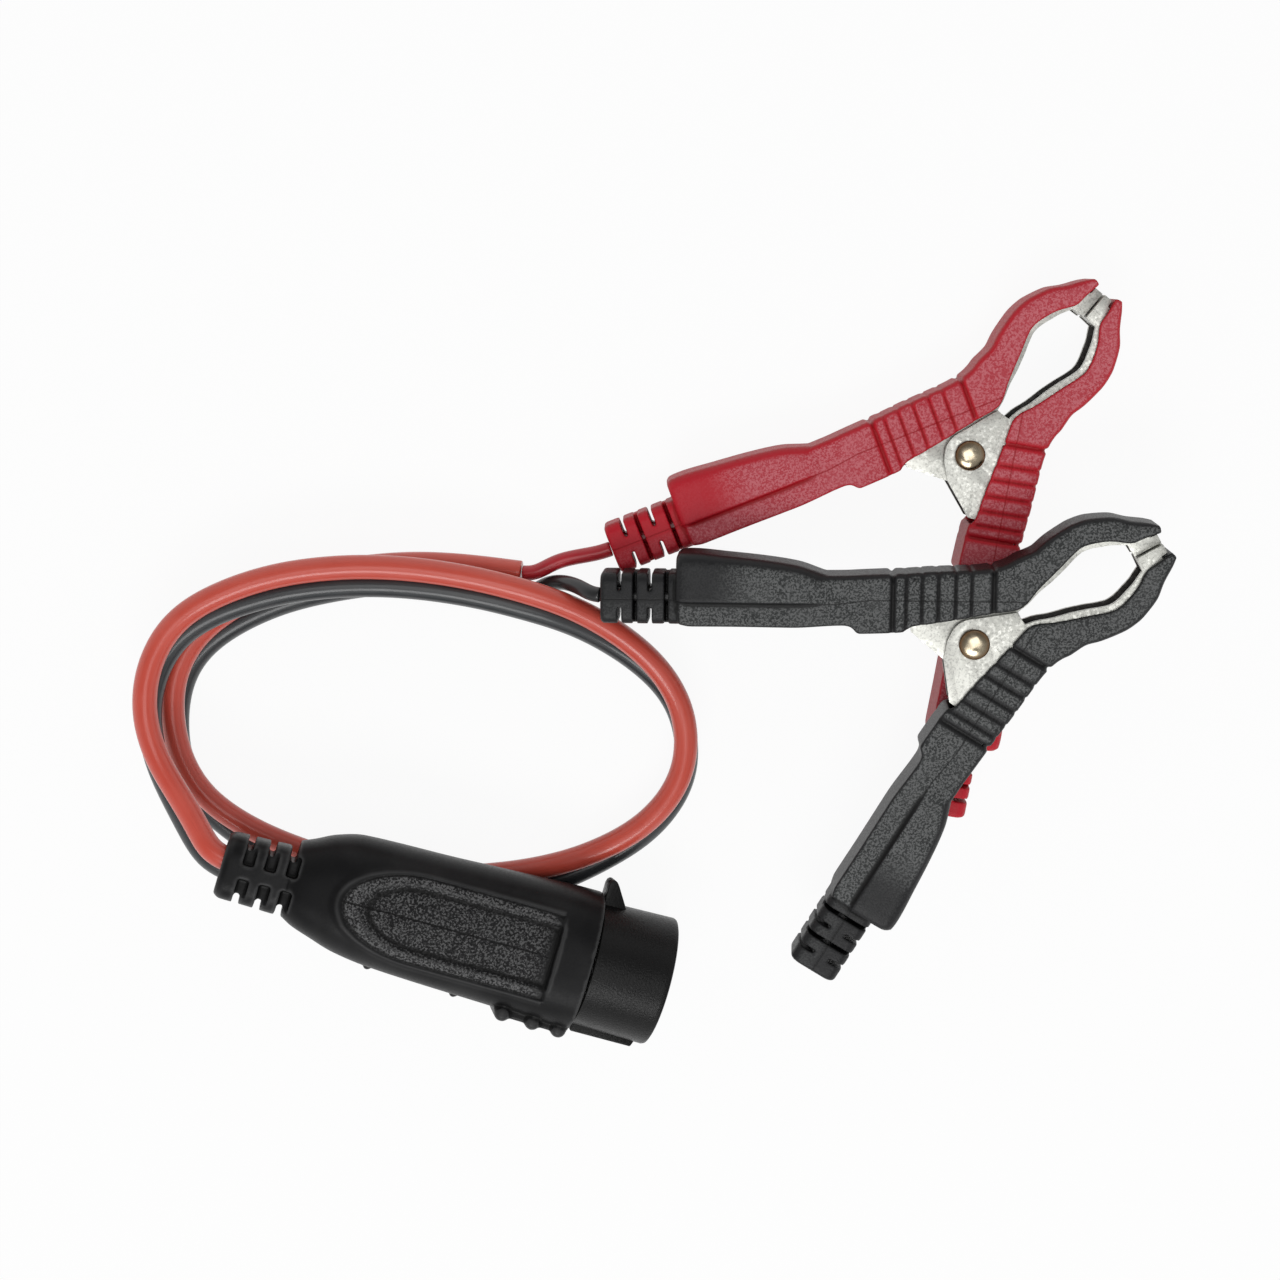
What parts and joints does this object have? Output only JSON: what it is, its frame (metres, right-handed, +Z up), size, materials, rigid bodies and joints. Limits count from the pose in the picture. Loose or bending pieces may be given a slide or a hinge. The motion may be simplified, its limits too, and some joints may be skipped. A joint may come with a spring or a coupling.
{
  "type": "battery charger clamp lead",
  "caption": "Battery charger lead: a round plug on a looped twin cable that ends in sprung red and black clamps with pressed steel jaws and moulded handles.",
  "frame": {"origin": "middle of the lead without its loose cable, on the surface it lies on", "axes": "+X to the right of the layout, towards the clamps' jaws; +Y away from the plug; +Z up from the surface"},
  "size_m": [0.2014, 0.1526, 0.0292],
  "materials": {
    "sleeve_red": "fine matte grain",
    "sleeve_black": "fine matte grain",
    "plug_soft": "satin, grained in the grip recess",
    "plug_hard": "smooth, soft gloss",
    "cable_red": "satin",
    "cable_black": "satin",
    "zinc_steel": "pale zinc plating, speckled",
    "rivet_brass": "polished dome",
    "spring_steel": "bright wire",
    "tinned_contact": "tinned"
  },
  "bodies": {
    "lead": {"plug_body": "plug_soft", "plug_shroud": "plug_hard", "plug_insert": "plug_soft", "plug_pin": "tinned_contact", "plug_socket": "tinned_contact", "plug_red_core": "cable_red", "plug_black_core": "cable_black", "red_sheath": "cable_red", "black_sheath": "cable_black", "red_wire": "sleeve_red", "black_wire": "sleeve_black", "red_upper_sleeve": "sleeve_red", "red_upper_jaw": "zinc_steel", "red_rivet": "rivet_brass", "red_spring": "spring_steel", "red_crimp": "tinned_contact", "red_inner_wire": "sleeve_red", "black_upper_sleeve": "sleeve_black", "black_upper_jaw": "zinc_steel", "black_rivet": "rivet_brass", "black_spring": "spring_steel", "black_crimp": "tinned_contact", "black_inner_wire": "sleeve_black"},
    "red_clamp_lower_half": {"red_lower_sleeve": "sleeve_red", "red_lower_jaw": "zinc_steel"},
    "black_clamp_lower_half": {"black_lower_sleeve": "sleeve_black", "black_lower_jaw": "zinc_steel"}
  },
  "joints": [
    {"name": "red_clamp_hinge", "type": "hinge", "parent": "lead", "child": "red_clamp_lower_half", "pos_m": [0.05565, 0.04263, 0.0063], "axis": [0, 0, -1], "range_deg": [0, 40], "stiffness_Nm_per_rad": 0.05, "springref_deg": -34.38, "deforming": ["red_spring"]},
    {"name": "black_clamp_hinge", "type": "hinge", "parent": "lead", "child": "black_clamp_lower_half", "pos_m": [0.05554, 0.00773, 0.0209], "axis": [0.0698, 0, -0.9976], "range_deg": [0, 40], "stiffness_Nm_per_rad": 0.05, "springref_deg": -34.38, "deforming": ["black_spring"]}
  ]
}
